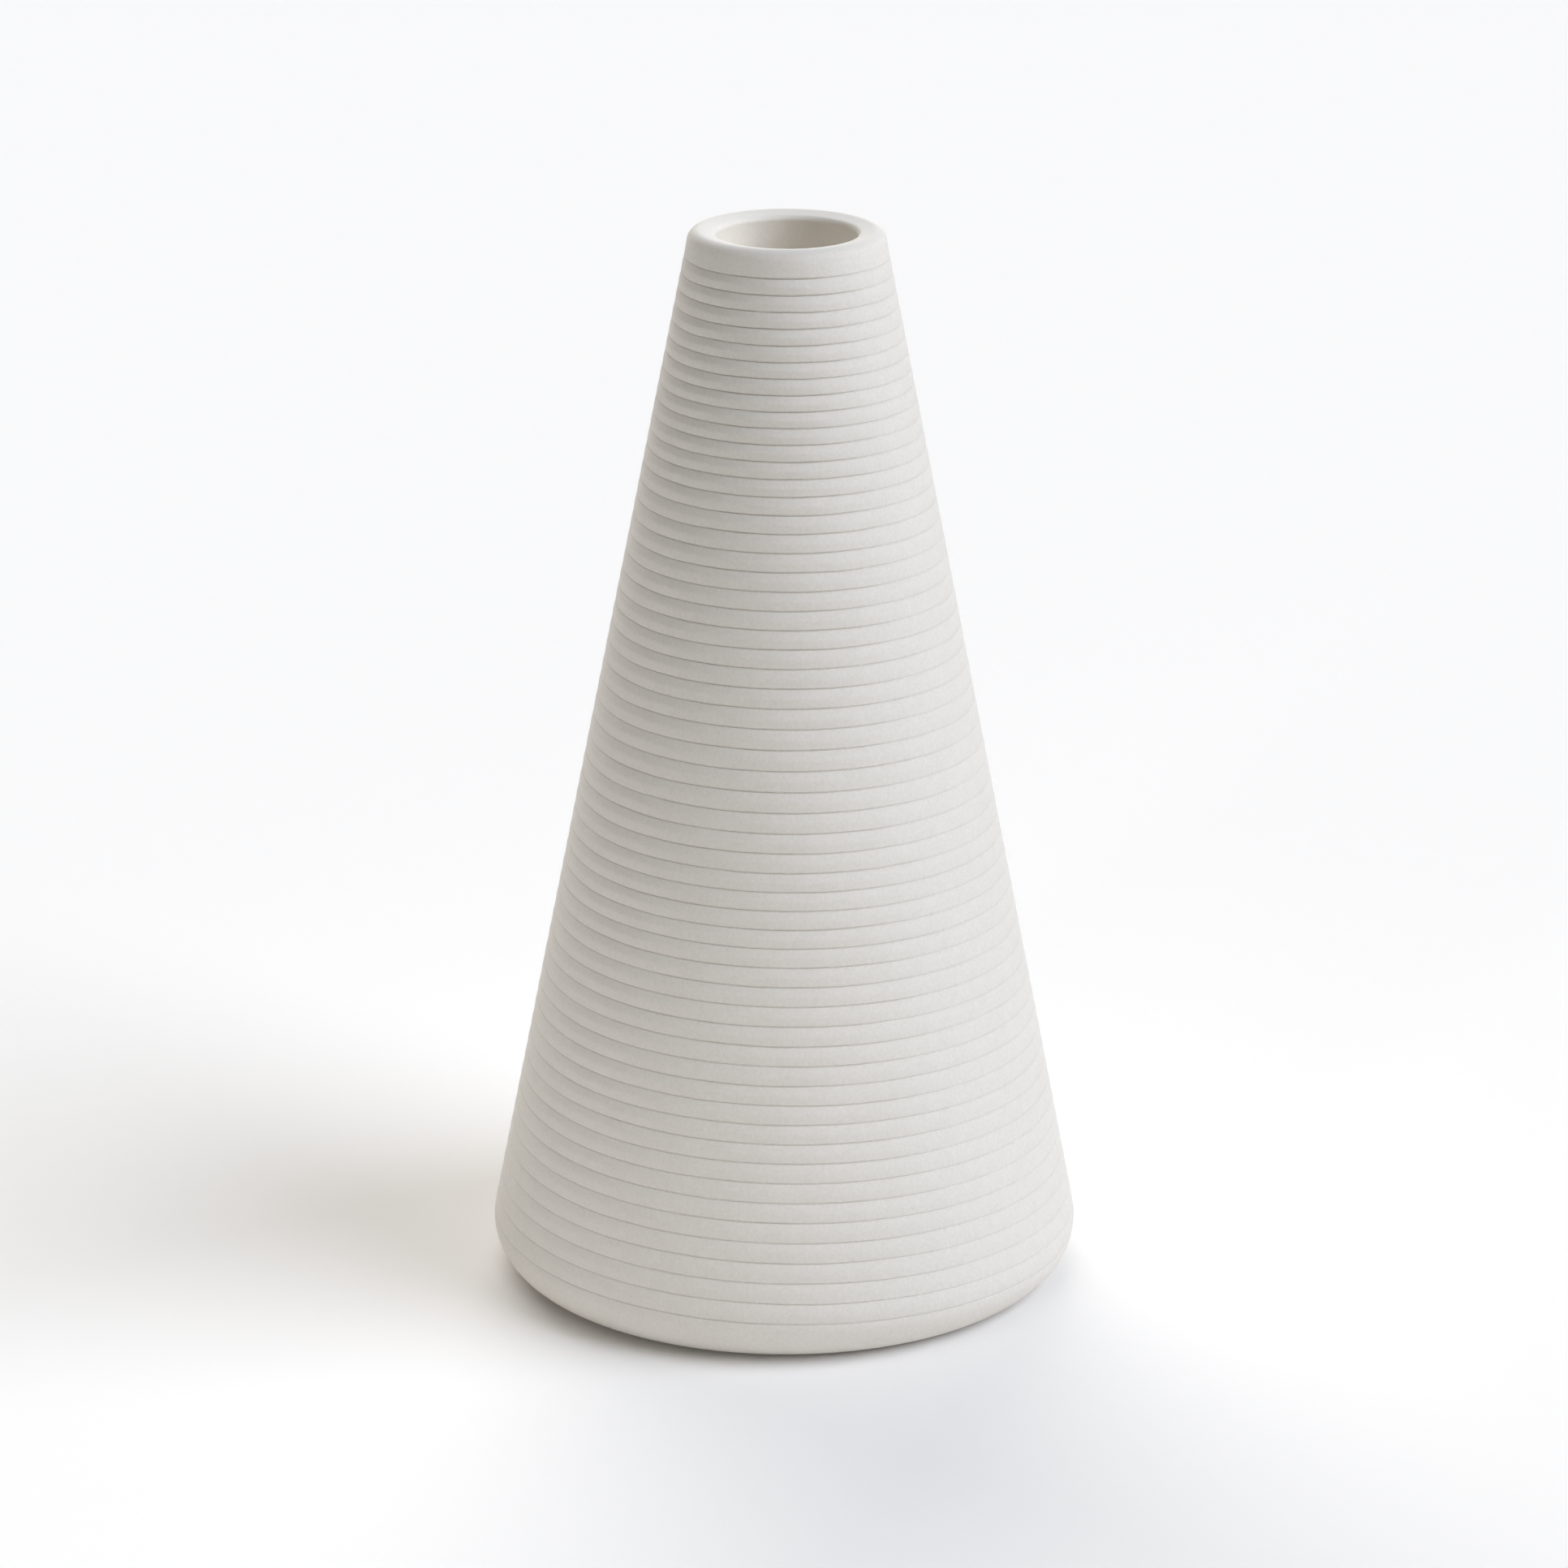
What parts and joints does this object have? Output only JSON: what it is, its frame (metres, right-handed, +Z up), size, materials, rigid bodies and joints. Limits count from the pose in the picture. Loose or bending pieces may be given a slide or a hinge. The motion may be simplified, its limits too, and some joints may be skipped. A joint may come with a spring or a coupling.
{
  "type": "conical vase",
  "caption": "Tall conical ceramic vase in a matt off-white finish, ribbed all round by fine turned grooves, with a small round mouth in a softly rounded rim and a rounded foot.",
  "frame": {"origin": "middle of the foot, on the surface that the vase stands on", "axes": "+Z up along the cone's axis, towards the mouth; X and Y lie in the surface, and the form is the same all round"},
  "size_m": [0.121, 0.121, 0.2194],
  "materials": {
    "bisque_clay": "matt unglazed off-white, fine grained"
  },
  "bodies": {
    "root": {"vase_body": "bisque_clay"}
  },
  "joints": []
}
